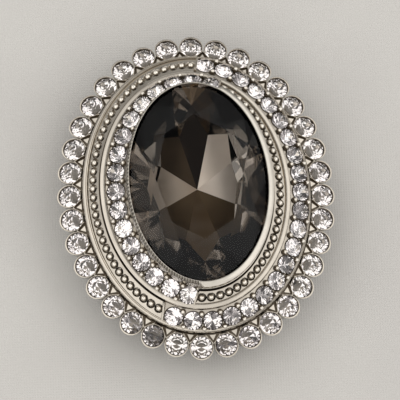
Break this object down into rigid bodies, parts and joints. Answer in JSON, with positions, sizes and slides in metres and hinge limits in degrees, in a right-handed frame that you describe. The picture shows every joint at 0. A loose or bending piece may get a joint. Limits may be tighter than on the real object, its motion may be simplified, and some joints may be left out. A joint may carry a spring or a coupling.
{
  "type": "oval brooch",
  "caption": "Oval stepped brooch with a tall faceted centre stone, a swirl of small stones and beading, a ring of stone cups, and a hinged pin with a safety catch.",
  "frame": {"origin": "under the middle of the brooch, on the surface it lies on, level with the lowest edges of the hinge and the catch", "axes": "+Z out of the brooch's face, +Y to its top as worn, +X along the pin from the hinge to the catch"},
  "size_m": [0.0388, 0.0474, 0.0159],
  "materials": {
    "plated_casting": "bright rhodium-coloured plating over a zinc casting, darkened in the recesses",
    "plated_strip": "bright plated strip, serrated along its edge",
    "plated_findings": "plated brass findings, lightly rubbed",
    "rivet_metal": "drawn nickel silver wire, heads peened",
    "pin_steel": "drawn wire, polished to its point",
    "smoky_stone": "dark smoky grey-brown faceted glass, foiled behind",
    "clear_stone": "clear faceted glass, foiled behind"
  },
  "bodies": {
    "brooch": {"lower_frame": "plated_casting", "upper_frame": "plated_casting", "centre_setting": "plated_strip", "centre_stone": "smoky_stone", "outer_stone_01": "clear_stone", "outer_stone_02": "clear_stone", "outer_stone_03": "clear_stone", "outer_stone_04": "clear_stone", "outer_stone_05": "clear_stone", "outer_stone_06": "clear_stone", "outer_stone_07": "clear_stone", "outer_stone_08": "clear_stone", "outer_stone_09": "clear_stone", "outer_stone_10": "clear_stone", "outer_stone_11": "clear_stone", "outer_stone_12": "clear_stone", "outer_stone_13": "clear_stone", "outer_stone_14": "clear_stone", "outer_stone_15": "clear_stone", "outer_stone_16": "clear_stone", "outer_stone_17": "clear_stone", "outer_stone_18": "clear_stone", "outer_stone_19": "clear_stone", "outer_stone_20": "clear_stone", "outer_stone_21": "clear_stone", "outer_stone_22": "clear_stone", "outer_stone_23": "clear_stone", "outer_stone_24": "clear_stone", "outer_stone_25": "clear_stone", "outer_stone_26": "clear_stone", "outer_stone_27": "clear_stone", "outer_stone_28": "clear_stone", "outer_stone_29": "clear_stone", "outer_stone_30": "clear_stone", "outer_stone_31": "clear_stone", "outer_stone_32": "clear_stone", "outer_stone_33": "clear_stone", "outer_stone_34": "clear_stone", "outer_stone_35": "clear_stone", "outer_stone_36": "clear_stone", "outer_channel_stones": "clear_stone", "inner_channel_stones": "clear_stone", "pin_bar": "plated_findings", "hinge_joint": "plated_findings", "hinge_rivet": "rivet_metal", "catch_housing": "plated_findings"},
    "pin_stem": {"pin_stem": "pin_steel"},
    "catch_sleeve": {"catch_sleeve": "plated_findings"}
  },
  "joints": [
    {"name": "pin_swing", "type": "hinge", "parent": "brooch", "child": "pin_stem", "pos_m": [-0.0135, 0.005, 0.00175], "axis": [0, 1, 0], "range_deg": [0, 100]},
    {"name": "catch_turn", "type": "hinge", "parent": "brooch", "child": "catch_sleeve", "pos_m": [0.0135, 0.005, 0.00175], "axis": [-1, 0, 0], "range_deg": [0, 180]}
  ]
}
